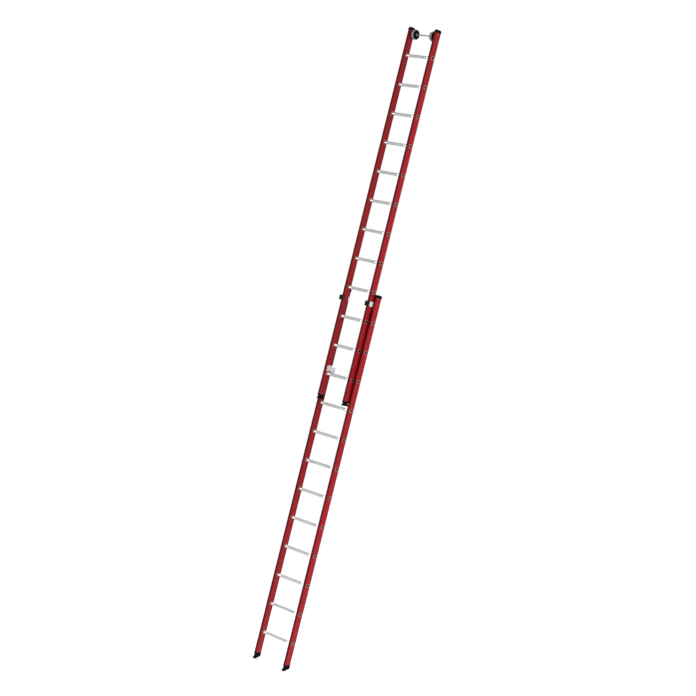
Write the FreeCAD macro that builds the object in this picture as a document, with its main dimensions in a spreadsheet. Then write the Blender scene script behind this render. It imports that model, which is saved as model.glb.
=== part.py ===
# Extension ladder: a base section and a narrower fly section that slides up inside it.
# Box-section fibreglass stiles, flared aluminium rungs, swinging rung hooks, wall rollers.
#
# Frame, in millimetres: +Z runs up the stiles, +X is the climber's right and +Y points at
# the wall. The origin is midway between the stiles and midway between the ladder's front
# and back, level with the lowest edge of the base section's feet.
import FreeCAD, Part
import os
import re
import Sketcher

Vector = FreeCAD.Vector
LEFT = -1
RIGHT = 1
SIDES = {"left": LEFT, "right": RIGHT}

# Driving sizes: name, value, meaning. The sheet holds them and every object follows it.
SIZES = (
    ("fly_width", 350, "outer width of the fly section"),
    ("stile_depth", 73, "front to back size of a stile"),
    ("stile_width", 25, "side to side size of a stile"),
    ("stile_wall", 3, "wall of a stile"),
    ("stile_corner", 5, "outer corner radius of a stile"),
    ("stile_top", 240, "top rung's axis to the stile's upper end"),
    ("side_gap", 10, "between a fly stile and the base stile beside it"),
    ("rung_count", 12, "rungs in each section"),
    ("rung_pitch", 280, "distance from rung to rung"),
    ("rise_rungs", 9, "pitches the fly section is raised by"),
    ("first_rung", 205, "stile's lower end to the first rung's axis"),
    ("rung_diameter", 28, "outside of a rung"),
    ("rung_wall", 2, "wall of a rung"),
    ("rung_fit", 0.05, "radial clearance of a rung in its stile"),
    ("smooth_end", 44, "plain length between a stile and a rung's tread"),
    ("flute_count", 32, "grooves round a rung's tread"),
    ("flute_depth", 0.5, "depth of a tread groove"),
    ("flute_width", 1.8, "width of a tread groove"),
    ("lip_margin", 5, "how far the flared lip reaches beyond the rung"),
    ("lip_thickness", 1.5, "thickness of the flared lip"),
    ("flange_margin", 6, "how far the dished flange reaches beyond the rung"),
    ("flange_height", 4, "how far the flange stands proud"),
    ("flange_rim", 1.2, "rim and floor thickness of the flange's dish"),
    ("section_gap", 1.5, "fly stile's back to the base rungs' front"),
    ("collar_height", 8, "collar of a foot or an end cap"),
    ("base_lip", 1.5, "how far a base collar overhangs its stile"),
    ("fly_lip", 0.8, "how far a fly collar overhangs its stile"),
    ("foot_plug", 45, "how far a foot enters its stile"),
    ("cap_plug", 22, "how far an end cap enters its stile"),
    ("plug_fit", 0.2, "clearance of a plug in its stile"),
    ("foot_drop", 60, "base stile's end down to the toe"),
    ("sole_angle", 20, "slope of the sole, in degrees"),
    ("toe_height", 17, "height of the toe's front face"),
    ("toe_bevel", 5, "bevel at the toe's lower edge"),
    ("foot_notch", 8, "how far the foot's waist is drawn in"),
    ("foot_inset", 2, "foot's narrow parts inside the stile's outline"),
    ("sole_groove", 4, "width and spacing unit of the sole's grooves"),
    ("groove_depth", 2.5, "depth of the sole's grooves"),
    ("fly_foot_drop", 42, "fly stile's end down to its foot's sole"),
    ("fly_pad_height", 13, "height of the fly foot's pad"),
    ("fly_notch", 12, "how far the fly foot's waist is drawn in"),
    ("cap_height", 28, "height of an end cap above its stile"),
    ("cap_round", 19, "front and back rounding of an end cap"),
    ("cap_edge", 2.5, "small rounding along an end cap's sides"),
    ("rivet_diameter", 6, "shank of a rivet"),
    ("rivet_rim", 2.5, "how far a rivet's head reaches beyond its shank"),
    ("rivet_margin", 2, "least plate beside a rivet's head"),
    ("rivet_height", 1.6, "height of a rivet's head"),
    ("end_rivet_up", 11, "stile's end to the rivet through its plug"),
    ("guide_thickness", 3, "guide plate's thickness"),
    ("guide_height", 47, "guide plate's height"),
    ("guide_down", 70, "base stile's upper end to the middle of the guide"),
    ("guide_reach", 17.5, "guide shoe's front ahead of the fly stile"),
    ("shoe_wrap", 5, "guide shoe's grip behind the fly stile's front edge"),
    ("shoe_wall", 6, "guide shoe's lip on the fly stile's inner face"),
    ("shoe_skin", 2, "guide shoe's skin outside the guide plate"),
    ("shoe_gap", 0.5, "running gap between shoe and fly stile"),
    ("plate_entry", 12, "how deep the guide plate sits in the shoe"),
    ("guide_rivet_spread", 22, "distance between the two rivets in the stile"),
    ("lift_play", 60, "travel from the raised position up to the stops"),
    ("stop_gap", 1, "stop block clear of the guide at full travel"),
    ("stop_clear", 0.6, "stop block clear of the base stile beside it"),
    ("stop_depth", 14, "stop block's front to back size"),
    ("stop_height", 32, "stop block's height"),
    ("stop_back", 24, "stop block's middle behind the stile's middle"),
    ("head_recess", 2, "depth of the recess for a rivet's head"),
    ("hook_plate_thickness", 4, "mounting plate of a rung hook"),
    ("plate_clear", 4, "plate's lower edge clear of the flange"),
    ("hook_plate_high", 79, "plate's upper edge above the rung axis"),
    ("hook_plate_front", 21, "plate's front edge ahead of the stile's middle"),
    ("hook_thickness", 11, "thickness of a hook"),
    ("hook_standoff", 2.2, "hook clear of its plate and of the plate's rivet heads"),
    ("hook_gap", 0.4, "side play of a hook between its bolt's shoulders"),
    ("hook_seat_gap", 0.4, "hook's seat clear of the rung"),
    ("hook_top", 70, "hook's upper edge above the rung axis"),
    ("hook_nose", 14, "thickness of the nose behind the rung"),
    ("nose_drop", 6, "nose's inner corner below the rung axis"),
    ("nose_tip", 3, "nose's tip below its inner corner"),
    ("hook_shoulder", 4, "hook's front end below its upper edge"),
    ("pivot_ahead", 4, "hook's pivot ahead of the stile's middle"),
    ("pivot_up", 52, "hook's pivot above the rung axis"),
    ("pivot_diameter", 10, "shank of the hook's pivot bolt"),
    ("pivot_fit", 0.06, "radial clearance of a hook on its pivot"),
    ("boss_wall", 8, "hook's boss beyond the pivot bolt"),
    ("pivot_rim", 4, "how far the pivot bolt's head reaches beyond its shank"),
    ("pivot_head_height", 5, "height of the pivot bolt's head"),
    ("pivot_bevel", 1, "bevel of the pivot bolt's head"),
    ("axle_down", 35, "fly stile's upper end to the roller axle"),
    ("axle_back", 10, "roller axle behind the stile's middle"),
    ("axle_diameter", 12, "roller axle"),
    ("clip_groove", 1, "depth of the groove for a clip"),
    ("clip_width", 1.5, "width of an axle clip"),
    ("clip_rim", 4.5, "how far an axle clip reaches beyond the axle"),
    ("roller_inset", 19, "stile's inner face to a roller's hub"),
    ("tyre_diameter", 94, "outside of a roller's tyre"),
    ("tyre_width", 24, "width of a roller's tyre"),
    ("tyre_height", 11, "tyre's thickness from its bore to its tread"),
    ("tyre_edge", 4, "rounding of the tyre's shoulders"),
    ("tread_groove", 2, "depth and half width of the tyre's middle groove"),
    ("disc_step", 2.5, "side disc of a roller's core inside the tread"),
    ("disc_thickness", 3, "thickness of a side disc"),
    ("hub_wall", 6, "hub of a roller's core beyond its bush"),
    ("hub_proud", 3, "hub standing proud of the side discs"),
    ("disc_relief", 1.6, "depth of the side disc's round recesses"),
    ("recess_count", 6, "round recesses in a side disc"),
    ("recess_diameter", 15, "size of a recess"),
    ("bush_wall", 3, "wall of a roller's bush"),
    ("bush_fit", 0.05, "radial clearance of a bush on the axle"),
    ("spacer_wall", 3.5, "wall of the spacer tube between roller and stile"),
    ("side_play", 0.4, "play of a roller between spacer and clip"),
    ("over_cut", 1, "how far a cut runs past the face it opens"),
)
SIZE_NAMES = [name for name, value, meaning in SIZES]

# Places and sizes worked out from the driving ones.
HALF_DEPTH = "(stile_depth / 2)"
SECTION_OFFSET = f"({HALF_DEPTH} + rung_diameter / 2 + section_gap)"
FRONT_REACH = f"({HALF_DEPTH} + guide_reach)"
BACK_REACH = f"({HALF_DEPTH} + base_lip)"
FLY_Y = f"(({FRONT_REACH} - {SECTION_OFFSET} - {BACK_REACH}) / 2)"
BASE_Y = f"({FLY_Y} + {SECTION_OFFSET})"
BASE_Z = "(foot_drop)"
FLY_Z = f"({BASE_Z} + rise_rungs * rung_pitch)"
STILE_LENGTH = "(first_rung + (rung_count - 1) * rung_pitch + stile_top)"
BASE_WIDTH = "(fly_width + 2 * (stile_width + side_gap))"
BASE_INNER = f"({BASE_WIDTH} / 2 - stile_width)"
FLY_INNER = "(fly_width / 2 - stile_width)"
RUNG_HOLE = "(rung_diameter / 2 + rung_fit)"
LIP_RADIUS = "(rung_diameter / 2 + lip_margin)"
FLANGE_RADIUS = "(rung_diameter / 2 + flange_margin)"
RIVET_HEAD = "(rivet_diameter / 2 + rivet_rim)"
GUIDE_UP = f"({STILE_LENGTH} - guide_down)"
AXLE_UP = f"({STILE_LENGTH} - axle_down)"
GUIDE_LOW = f"({BASE_Z} + {GUIDE_UP} - guide_height / 2)"
STOP_UP = f"({GUIDE_LOW} - lift_play - stop_gap - stop_height / 2 - {FLY_Z})"
PLATE_FRONT = f"(-{HALF_DEPTH} - guide_reach + plate_entry)"
SHOE_BACK = f"(shoe_wrap - {HALF_DEPTH})"
SHOE_FRONT = f"(-{HALF_DEPTH} - guide_reach)"
SEAT_RADIUS = "(rung_diameter / 2 + hook_seat_gap)"
STOP_THICKNESS = "(side_gap - stop_clear)"
HOOK_PLATE_LOW = f"({FLANGE_RADIUS} + plate_clear)"
HOOK_OUTER = f"({FLY_INNER} - hook_plate_thickness - hook_standoff)"
HOOK_BOSS = "(pivot_diameter / 2 + boss_wall)"
PIVOT_HEAD = "(pivot_diameter / 2 + pivot_rim)"
TYRE_BORE = "(tyre_diameter / 2 - tyre_height)"
DISC_RADIUS = "(tyre_diameter / 2 - disc_step)"
BUSH_RADIUS = "(axle_diameter / 2 + bush_wall)"
HUB_RADIUS = f"({BUSH_RADIUS} + hub_wall)"
HUB_HALF = "(tyre_width / 2 + disc_thickness + hub_proud)"
ROLLER_X = f"({FLY_INNER} - roller_inset - {HUB_HALF})"
CLIP_X = f"({ROLLER_X} - {HUB_HALF} - side_play - clip_width / 2)"
SECTIONS = {
    "base": {"width": BASE_WIDTH, "y": BASE_Y, "z": BASE_Z, "lip": "base_lip"},
    "fly": {"width": "fly_width", "y": FLY_Y, "z": FLY_Z, "lip": "fly_lip"},
}

doc = FreeCAD.newDocument("extension_ladder")
sheet = doc.addObject("Spreadsheet::Sheet", "sizes")
for row, (name, value, meaning) in enumerate(SIZES, start=1):
    sheet.set(f"A{row}", name)
    sheet.set(f"B{row}", str(value))
    sheet.set(f"C{row}", meaning)
    sheet.setAlias(f"B{row}", name)
doc.recompute()

nodes = []


# --- expressions, sketches and features ------------------------------------------------

def linked(text):
    """Points every size name in an expression at the sheet."""
    return re.sub(r"\b[a-z_]+\b", lambda found: sheet_name(found.group(0)), text)


def sheet_name(word):
    return f"sizes.{word}" if word in SIZE_NAMES else word


def number(text):
    """The present value of an expression, to start a sketch near its solution."""
    value = sheet.evalExpression(linked(text))
    return float(getattr(value, "Value", value))


def bind(thing, **properties):
    """Binds properties to expressions; x, y and z stand for the placement's base."""
    for key, text in properties.items():
        path = f"Placement.Base.{key}" if key in ("x", "y", "z") else key
        thing.setExpression(path, linked(str(text)))


def new_body(label):
    part = doc.addObject("PartDesign::Body", label)
    part.Label = label
    return part


def keep(part):
    """Marks an object as a sub-part that gets its own file."""
    nodes.append(part)
    return part


def origin_feature(part, role):
    return next(item for item in part.Origin.OriginFeatures if item.Role == role)


def new_sketch(part, name, plane, offset="0"):
    """A sketch on one of the body's origin planes, moved along the plane's normal."""
    drawing = part.newObject("Sketcher::SketchObject", f"{part.Name}_{name}")
    drawing.AttachmentSupport = [(origin_feature(part, plane), "")]
    drawing.MapMode = "FlatFace"
    drawing.setExpression("AttachmentOffset.Base.z", linked(offset))
    return drawing


def place_point(drawing, geometry, end, x, y):
    """Fixes a point of the sketch at two expressions."""
    for kind, text in (("DistanceX", x), ("DistanceY", y)):
        value = number(text)
        index = drawing.addConstraint(Sketcher.Constraint(kind, -1, 1, geometry, end, value))
        drawing.setExpression(f"Constraints[{index}]", linked(text))


def outline(drawing, points):
    """A closed outline of straight runs; a third item is the centre of an arc to the next point."""
    first = drawing.GeometryCount
    count = len(points)
    spots = [Vector(number(point[0]), number(point[1]), 0) for point in points]
    ends = []
    for i, point in enumerate(points):
        start, finish = spots[i], spots[(i + 1) % count]
        if len(point) == 2:
            drawing.addGeometry(Part.LineSegment(start, finish))
            ends.append((1, 2))
        else:
            ends.append(add_arc(drawing, start, finish, point[2]))
    for i in range(count):
        j = (i + 1) % count
        joint = Sketcher.Constraint("Coincident", first + i, ends[i][1], first + j, ends[j][0])
        drawing.addConstraint(joint)
    for i, point in enumerate(points):
        place_point(drawing, first + i, ends[i][0], point[0], point[1])
        if len(point) > 2:
            place_centre(drawing, first + i, spots[i] - spots[(i + 1) % count], point[2])


def add_arc(drawing, start, finish, centre):
    """The shorter arc between two points; returns which of its ends is the start and the finish."""
    middle = Vector(number(centre[0]), number(centre[1]), 0)
    ring = Part.Circle(middle, Vector(0, 0, 1), (start - middle).Length)
    anticlockwise = (start - middle).cross(finish - middle).z > 0
    low, high = (start, finish) if anticlockwise else (finish, start)
    drawing.addGeometry(Part.ArcOfCircle(ring, ring.parameter(low), ring.parameter(high)))
    return (1, 2) if anticlockwise else (2, 1)


def place_centre(drawing, index, chord, centre):
    """Fixes one coordinate of an arc's centre: its two ends fix the other."""
    level = abs(chord.x) >= abs(chord.y)
    kind, text = ("DistanceX", centre[0]) if level else ("DistanceY", centre[1])
    fixed = drawing.addConstraint(Sketcher.Constraint(kind, -1, 1, index, 3, number(text)))
    drawing.setExpression(f"Constraints[{fixed}]", linked(text))


def rectangle(drawing, low_x, high_x, low_y, high_y):
    outline(drawing, [(low_x, low_y), (high_x, low_y), (high_x, high_y), (low_x, high_y)])


def centred_rectangle(drawing, across, along):
    rectangle(drawing, f"-({across}) / 2", f"({across}) / 2", f"-({along}) / 2", f"({along}) / 2")


def circle(drawing, x, y, radius):
    centre = Vector(number(x), number(y), 0)
    index = drawing.addGeometry(Part.Circle(centre, Vector(0, 0, 1), number(radius)))
    place_point(drawing, index, 3, x, y)
    ring = drawing.addConstraint(Sketcher.Constraint("Radius", index, number(radius)))
    drawing.setExpression(f"Constraints[{ring}]", linked(radius))


def pad(part, drawing, length, both_ways=False, downwards=False):
    feature = part.newObject("PartDesign::Pad", f"{drawing.Name}_pad")
    return extrude(feature, drawing, length, both_ways, downwards)


def pocket(part, drawing, length, both_ways=False, upwards=False):
    """Cuts against the sketch's normal, or along it when upwards is set."""
    doc.recompute()
    before = part.Shape.Volume
    feature = part.newObject("PartDesign::Pocket", f"{drawing.Name}_cut")
    extrude(feature, drawing, length, both_ways, upwards)
    doc.recompute()
    if part.Shape.Volume > before - 1e-3:
        raise SystemExit(f"{feature.Name} removes nothing")
    return feature


def extrude(feature, drawing, length, both_ways, reverse):
    feature.Profile = drawing
    feature.setExpression("Length", linked(length))
    if both_ways:
        feature.SideType = "Symmetric"
    feature.Reversed = reverse
    drawing.Visibility = False
    return feature


def revolve(part, drawing, role="X_Axis"):
    feature = part.newObject("PartDesign::Revolution", f"{drawing.Name}_turned")
    feature.Profile = drawing
    feature.ReferenceAxis = (origin_feature(part, role), [""])
    feature.Angle = 360
    return feature


def repeat_round(part, feature, count, role="X_Axis"):
    pattern = part.newObject("PartDesign::PolarPattern", f"{feature.Name}_round")
    pattern.Originals = [feature]
    pattern.Axis = (origin_feature(part, role), [""])
    pattern.Angle = 360
    pattern.setExpression("Occurrences", linked(count))
    part.Tip = pattern
    return pattern


def repeat_up(part, feature, length, count):
    pattern = part.newObject("PartDesign::LinearPattern", f"{feature.Name}_row")
    pattern.Originals = [feature]
    pattern.Direction = (origin_feature(part, "Z_Axis"), [""])
    pattern.setExpression("Length", linked(length))
    pattern.setExpression("Occurrences", linked(count))
    part.Tip = pattern
    return pattern


def round_edges(part, name, radius, wanted):
    """Fillets the edges of the body's tip that a test picks out."""
    doc.recompute()
    base = part.Tip
    edges = [f"Edge{i}" for i, edge in enumerate(base.Shape.Edges, start=1) if wanted(edge)]
    feature = part.newObject("PartDesign::Fillet", f"{part.Name}_{name}")
    feature.Base = (base, edges)
    feature.setExpression("Radius", linked(radius))
    part.Tip = feature
    return feature


def runs_along(edge, axis):
    """True for a straight edge parallel to an axis of the body."""
    if not isinstance(edge.Curve, Part.Line):
        return False
    return edge.Curve.Direction.cross(axis).Length < 1e-6


def copy_of(master, label, **place):
    """A placed copy of a hidden master, as an object of its own."""
    placed = doc.addObject("Part::Compound", label)
    placed.Label = label
    placed.Links = [master]
    bind(placed, **place)
    return placed


def group_of(label, members):
    """One node that holds several separate solids."""
    group = doc.addObject("Part::Compound", label)
    group.Label = label
    group.Links = members
    return keep(group)


# --- stiles ----------------------------------------------------------------------------

def stile(section, side_name):
    """A box-section stile: rung holes, end rivet holes, and holes for what is fixed to it."""
    place = SECTIONS[section]
    side = SIDES[side_name]
    part = keep(new_body(f"{section}_stile_{side_name}"))
    tube = new_sketch(part, "outline", "XY_Plane")
    centred_rectangle(tube, "stile_width", "stile_depth")
    pad(part, tube, STILE_LENGTH)
    round_edges(part, "corners", "stile_corner", lambda edge: runs_along(edge, Vector(0, 0, 1)))
    hollow = new_sketch(part, "hollow", "XY_Plane")
    centred_rectangle(hollow, "stile_width - 2 * stile_wall", "stile_depth - 2 * stile_wall")
    pocket(part, hollow, STILE_LENGTH, upwards=True)
    rung_hole = new_sketch(part, "rung_hole", "YZ_Plane")
    circle(rung_hole, "0", "first_rung", RUNG_HOLE)
    first = pocket(part, rung_hole, "2 * stile_width", both_ways=True)
    repeat_up(part, first, "(rung_count - 1) * rung_pitch", "rung_count")
    ends = new_sketch(part, "end_rivets", "YZ_Plane")
    circle(ends, "0", "end_rivet_up", "rivet_diameter / 2")
    circle(ends, "0", f"{STILE_LENGTH} - end_rivet_up", "rivet_diameter / 2")
    pocket(part, ends, "2 * stile_width", both_ways=True)
    if section == "base":
        inner = new_sketch(part, "guide_rivets", "YZ_Plane")
        for shift in guide_rivet_shifts():
            circle(inner, shift, GUIDE_UP, "rivet_diameter / 2")
        pocket(part, inner, "stile_width", upwards=side == LEFT)
    else:
        inner = new_sketch(part, "inner_holes", "YZ_Plane")
        circle(inner, "-pivot_ahead", "first_rung + pivot_up", "pivot_diameter / 2")
        circle(inner, "axle_back", AXLE_UP, "axle_diameter / 2")
        for spot_y, spot_z in hook_rivet_spots():
            circle(inner, spot_y, f"first_rung + {spot_z}", "rivet_diameter / 2")
        pocket(part, inner, "stile_width", upwards=side == LEFT)
        outer = new_sketch(part, "stop_rivets", "YZ_Plane")
        for height in stop_rivet_heights():
            circle(outer, "stop_back", f"{STOP_UP} + {height}", "rivet_diameter / 2")
        pocket(part, outer, "stile_width", upwards=side == RIGHT)
    bind(part, x=f"{side} * ({place['width']} - stile_width) / 2", y=place["y"], z=place["z"])


def guide_rivet_shifts():
    """Where the guide plate's rivets pass the base stile, from the stile's middle."""
    return ["-guide_rivet_spread / 2", "guide_rivet_spread / 2"]


def stop_rivet_heights():
    return ["-stop_height / 4", "stop_height / 4"]


def hook_rivet_spots():
    """The hook plate's rivets: one ahead of the pivot, one behind it."""
    inset = f"({RIVET_HEAD} + rivet_margin)"
    ahead = (f"({inset} - hook_plate_front)", f"(hook_plate_high - {inset})")
    behind = (f"({HALF_DEPTH} - {inset} - rivet_margin)", f"({HOOK_PLATE_LOW} + {inset})")
    return [ahead, behind]


# --- rungs -----------------------------------------------------------------------------

def rung_master(section):
    """A tube flared over the stiles' outer faces, with a fluted tread between plain ends."""
    width = SECTIONS[section]["width"]
    part = new_body(f"{section}_rung_pattern")
    tube = new_sketch(part, "outline", "XY_Plane")
    half = f"({width} / 2)"
    tip = f"({half} + lip_thickness)"
    bore = "(rung_diameter / 2 - rung_wall)"
    outline(tube, [
        (f"-{tip}", bore), (tip, bore), (tip, LIP_RADIUS), (half, LIP_RADIUS),
        (half, "rung_diameter / 2"), (f"-{half}", "rung_diameter / 2"),
        (f"-{half}", LIP_RADIUS), (f"-{tip}", LIP_RADIUS),
    ])
    revolve(part, tube)
    flute = new_sketch(part, "flute", "YZ_Plane")
    clear_of = "(rung_diameter / 2 + flute_depth)"
    outline(flute, [
        ("0", "rung_diameter / 2 - flute_depth"),
        ("flute_width", clear_of), ("-flute_width", clear_of),
    ])
    tread = f"({width} - 2 * stile_width - 2 * smooth_end)"
    groove = pocket(part, flute, tread, both_ways=True)
    repeat_round(part, groove, "flute_count")
    return part


def flange_master(section, side_name):
    """A dished ring that backs up the rung on the stile's inner face."""
    side = SIDES[side_name]
    inner = f"({SECTIONS[section]['width']} / 2 - stile_width)"
    part = new_body(f"{section}_flange_pattern_{side_name}")
    ring = new_sketch(part, "outline", "XY_Plane")
    face = f"{side} * {inner}"
    rim = f"{side} * ({inner} - flange_height)"
    floor = f"{side} * ({inner} - flange_rim)"
    outline(ring, [
        (face, RUNG_HOLE), (face, FLANGE_RADIUS), (rim, f"{FLANGE_RADIUS} - flange_rim"),
        (rim, f"{FLANGE_RADIUS} - 2 * flange_rim"), (floor, f"{RUNG_HOLE} + flange_rim"),
        (floor, RUNG_HOLE),
    ])
    revolve(part, ring)
    return part


def rungs(section):
    place = SECTIONS[section]
    master = rung_master(section)
    flanges = [flange_master(section, side_name) for side_name in SIDES]
    rings = []
    for i in range(int(number("rung_count"))):
        height = f"{place['z']} + first_rung + {i} * rung_pitch"
        keep(copy_of(master, f"{section}_rung_{i + 1:02d}", y=place["y"], z=height))
        for flange in flanges:
            name = f"{flange.Name}_{i + 1:02d}"
            rings.append(copy_of(flange, name, y=place["y"], z=height))
    group_of(f"{section}_rung_flanges", rings)


# --- feet, end caps and their rivets ---------------------------------------------------

def collar_and_plug(part, lip, plug_length, upwards):
    """A collar against the stile's end, and a plug that fits inside the stile."""
    collar = new_sketch(part, "collar", "XY_Plane")
    centred_rectangle(collar, f"stile_width + 2 * {lip}", f"stile_depth + 2 * {lip}")
    pad(part, collar, "collar_height", downwards=upwards)
    plug = new_sketch(part, "plug", "XY_Plane")
    shrink = "(2 * stile_wall + 2 * plug_fit)"
    centred_rectangle(plug, f"stile_width - {shrink}", f"stile_depth - {shrink}")
    pad(part, plug, plug_length, downwards=not upwards)


def plug_rivet_hole(part, height):
    hole = new_sketch(part, "rivet_hole", "YZ_Plane")
    circle(hole, "0", height, "rivet_diameter / 2")
    pocket(part, hole, "2 * stile_width", both_ways=True)


def base_foot(side_name):
    """A moulded foot: drawn-in waist, toe at the front, and a sole that slopes up to the back."""
    part = keep(new_body(f"base_foot_{side_name}"))
    collar_and_plug(part, "base_lip", "foot_plug", upwards=True)
    shape = new_sketch(part, "side", "YZ_Plane")
    toe = f"(-{HALF_DEPTH} - base_lip)"
    sole_front = f"({toe} + toe_bevel)"
    sole_back = f"(({HALF_DEPTH} - {sole_front}) * tan(sole_angle * 1 deg) - foot_drop)"
    waist = f"(foot_notch - {HALF_DEPTH})"
    outline(shape, [
        (f"{HALF_DEPTH} - foot_inset", "-collar_height"), (waist, "-collar_height - foot_notch"),
        (waist, "toe_height + foot_notch / 2 - foot_drop"), (toe, "toe_height - foot_drop"),
        (toe, "toe_bevel - foot_drop"), (sole_front, "-foot_drop"), (HALF_DEPTH, sole_back),
        (HALF_DEPTH, f"{sole_back} + foot_notch"),
    ])
    pad(part, shape, "stile_width", both_ways=True)
    neck = new_sketch(part, "neck", "YZ_Plane")
    rectangle(neck, f"foot_notch - foot_inset - {HALF_DEPTH}", f"{HALF_DEPTH} - foot_inset",
              "-collar_height - foot_notch", "-collar_height / 2")
    pad(part, neck, "stile_width - foot_inset", both_ways=True)
    plug_rivet_hole(part, "end_rivet_up")
    sole_grooves(part, sole_front)
    place = SECTIONS["base"]
    bind(part, x=f"{SIDES[side_name]} * ({BASE_WIDTH} - stile_width) / 2", y=place["y"], z=place["z"])


def sole_grooves(part, sole_front):
    """Three grooves across the sole, square to its slope."""
    rise = "tan(sole_angle * 1 deg)"
    slots = new_sketch(part, "sole_grooves", "YZ_Plane")
    for i in range(3):
        near = f"({sole_front} + {4 * i + 3} * sole_groove)"
        far = f"({near} + sole_groove)"
        low_near = f"(({near} - {sole_front}) * {rise} - foot_drop)"
        low_far = f"(({far} - {sole_front}) * {rise} - foot_drop)"
        outline(slots, [
            (near, f"{low_near} - groove_depth"), (far, f"{low_far} - groove_depth"),
            (far, f"{low_far} + groove_depth"), (near, f"{low_near} + groove_depth"),
        ])
    pocket(part, slots, "2 * stile_width", both_ways=True)


def fly_foot(side_name):
    """A smaller foot with a waist front and back above a flat pad."""
    part = keep(new_body(f"fly_foot_{side_name}"))
    collar_and_plug(part, "fly_lip", "foot_plug", upwards=True)
    shape = new_sketch(part, "side", "YZ_Plane")
    waist = f"({HALF_DEPTH} - fly_notch)"
    pad_top = "(fly_pad_height - fly_foot_drop)"
    waist_low = f"({pad_top} + fly_notch / 3)"
    waist_high = "(-collar_height - fly_notch / 2)"
    outline(shape, [
        (HALF_DEPTH, "-fly_foot_drop"), (HALF_DEPTH, pad_top), (waist, waist_low),
        (waist, waist_high), (HALF_DEPTH, "-collar_height"), (f"-{HALF_DEPTH}", "-collar_height"),
        (f"-{waist}", waist_high), (f"-{waist}", waist_low), (f"-{HALF_DEPTH}", pad_top),
        (f"-{HALF_DEPTH}", "-fly_foot_drop"),
    ])
    pad(part, shape, "stile_width", both_ways=True)
    plug_rivet_hole(part, "end_rivet_up")
    place = SECTIONS["fly"]
    bind(part, x=f"{SIDES[side_name]} * (fly_width - stile_width) / 2", y=place["y"], z=place["z"])


def end_cap(section, side_name):
    """A cap on a stile's upper end, well rounded at the front and the back."""
    place = SECTIONS[section]
    part = keep(new_body(f"{section}_end_cap_{side_name}"))
    collar_and_plug(part, place["lip"], "cap_plug", upwards=False)
    dome = new_sketch(part, "dome", "XY_Plane")
    centred_rectangle(dome, f"stile_width + 2 * {place['lip']}", f"stile_depth + 2 * {place['lip']}")
    pad(part, dome, "cap_height")
    top = number("cap_height")
    across = Vector(1, 0, 0)
    round_edges(part, "ends", "cap_round", lambda edge: at_top(edge, top) and runs_along(edge, across))
    round_edges(part, "sides", "cap_edge", lambda edge: at_side(edge, part, number("collar_height")))
    plug_rivet_hole(part, "-end_rivet_up")
    bind(part, x=f"{SIDES[side_name]} * ({place['width']} - stile_width) / 2", y=place["y"],
         z=f"{place['z']} + {STILE_LENGTH}")


def at_top(edge, height):
    return edge.BoundBox.ZMin > height - 1e-6


def at_side(edge, part, floor):
    """True for the dome's edges along its two side faces."""
    box = part.Tip.Shape.BoundBox
    flat = edge.BoundBox.XLength < 1e-6 and edge.BoundBox.ZMax > floor
    return flat and min(abs(edge.BoundBox.XMin - box.XMin), abs(edge.BoundBox.XMax - box.XMax)) < 1e-6


def rivet_master(name, low_x, high_x):
    """A rivet along X with a head at each end, held between two faces."""
    part = new_body(name)
    shape = new_sketch(part, "outline", "XY_Plane")
    shank = "rivet_diameter / 2"
    outline(shape, [
        (f"{low_x} - rivet_height", "0"), (f"{high_x} + rivet_height", "0"),
        (f"{high_x} + rivet_height", f"{RIVET_HEAD} - rivet_height"), (high_x, RIVET_HEAD),
        (high_x, shank), (low_x, shank), (low_x, RIVET_HEAD),
        (f"{low_x} - rivet_height", f"{RIVET_HEAD} - rivet_height"),
    ])
    revolve(part, shape)
    return part


def end_rivets(section):
    """One rivet through each end of each stile, and through the plug inside it."""
    place = SECTIONS[section]
    master = rivet_master(f"{section}_end_rivet", "-stile_width / 2", "stile_width / 2")
    placed = []
    for side_name, side in SIDES.items():
        for end, height in (("low", "end_rivet_up"), ("high", f"{STILE_LENGTH} - end_rivet_up")):
            placed.append(copy_of(
                master, f"{master.Name}_{side_name}_{end}", y=place["y"],
                x=f"{side} * ({place['width']} - stile_width) / 2", z=f"{place['z']} + {height}"))
    return placed


# --- guides at the top of the base section ---------------------------------------------

def guide_plate(side_name):
    """A plate on the base stile's inner face that reaches forward past the fly stile."""
    side = SIDES[side_name]
    part = keep(new_body(f"guide_plate_{side_name}"))
    plate = new_sketch(part, "outline", "YZ_Plane", f"{-side} * guide_thickness / 2")
    back = f"({SECTION_OFFSET} + {HALF_DEPTH})"
    rectangle(plate, PLATE_FRONT, back, "-guide_height / 2", "guide_height / 2")
    pad(part, plate, "guide_thickness", both_ways=True)
    holes = new_sketch(part, "rivet_holes", "YZ_Plane")
    for shift in guide_rivet_shifts():
        circle(holes, f"{SECTION_OFFSET} + {shift}", "0", "rivet_diameter / 2")
    for height in shoe_rivet_heights():
        circle(holes, shoe_rivet_y(), height, "rivet_diameter / 2")
    pocket(part, holes, "4 * guide_thickness", both_ways=True)
    bind(part, x=f"{side} * {BASE_INNER}", y=FLY_Y, z=f"{BASE_Z} + {GUIDE_UP}")


def shoe_rivet_heights():
    return ["-guide_height / 4", "guide_height / 4"]


def shoe_rivet_y():
    return f"(({SHOE_FRONT} - shoe_gap - {HALF_DEPTH}) / 2)"


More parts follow.
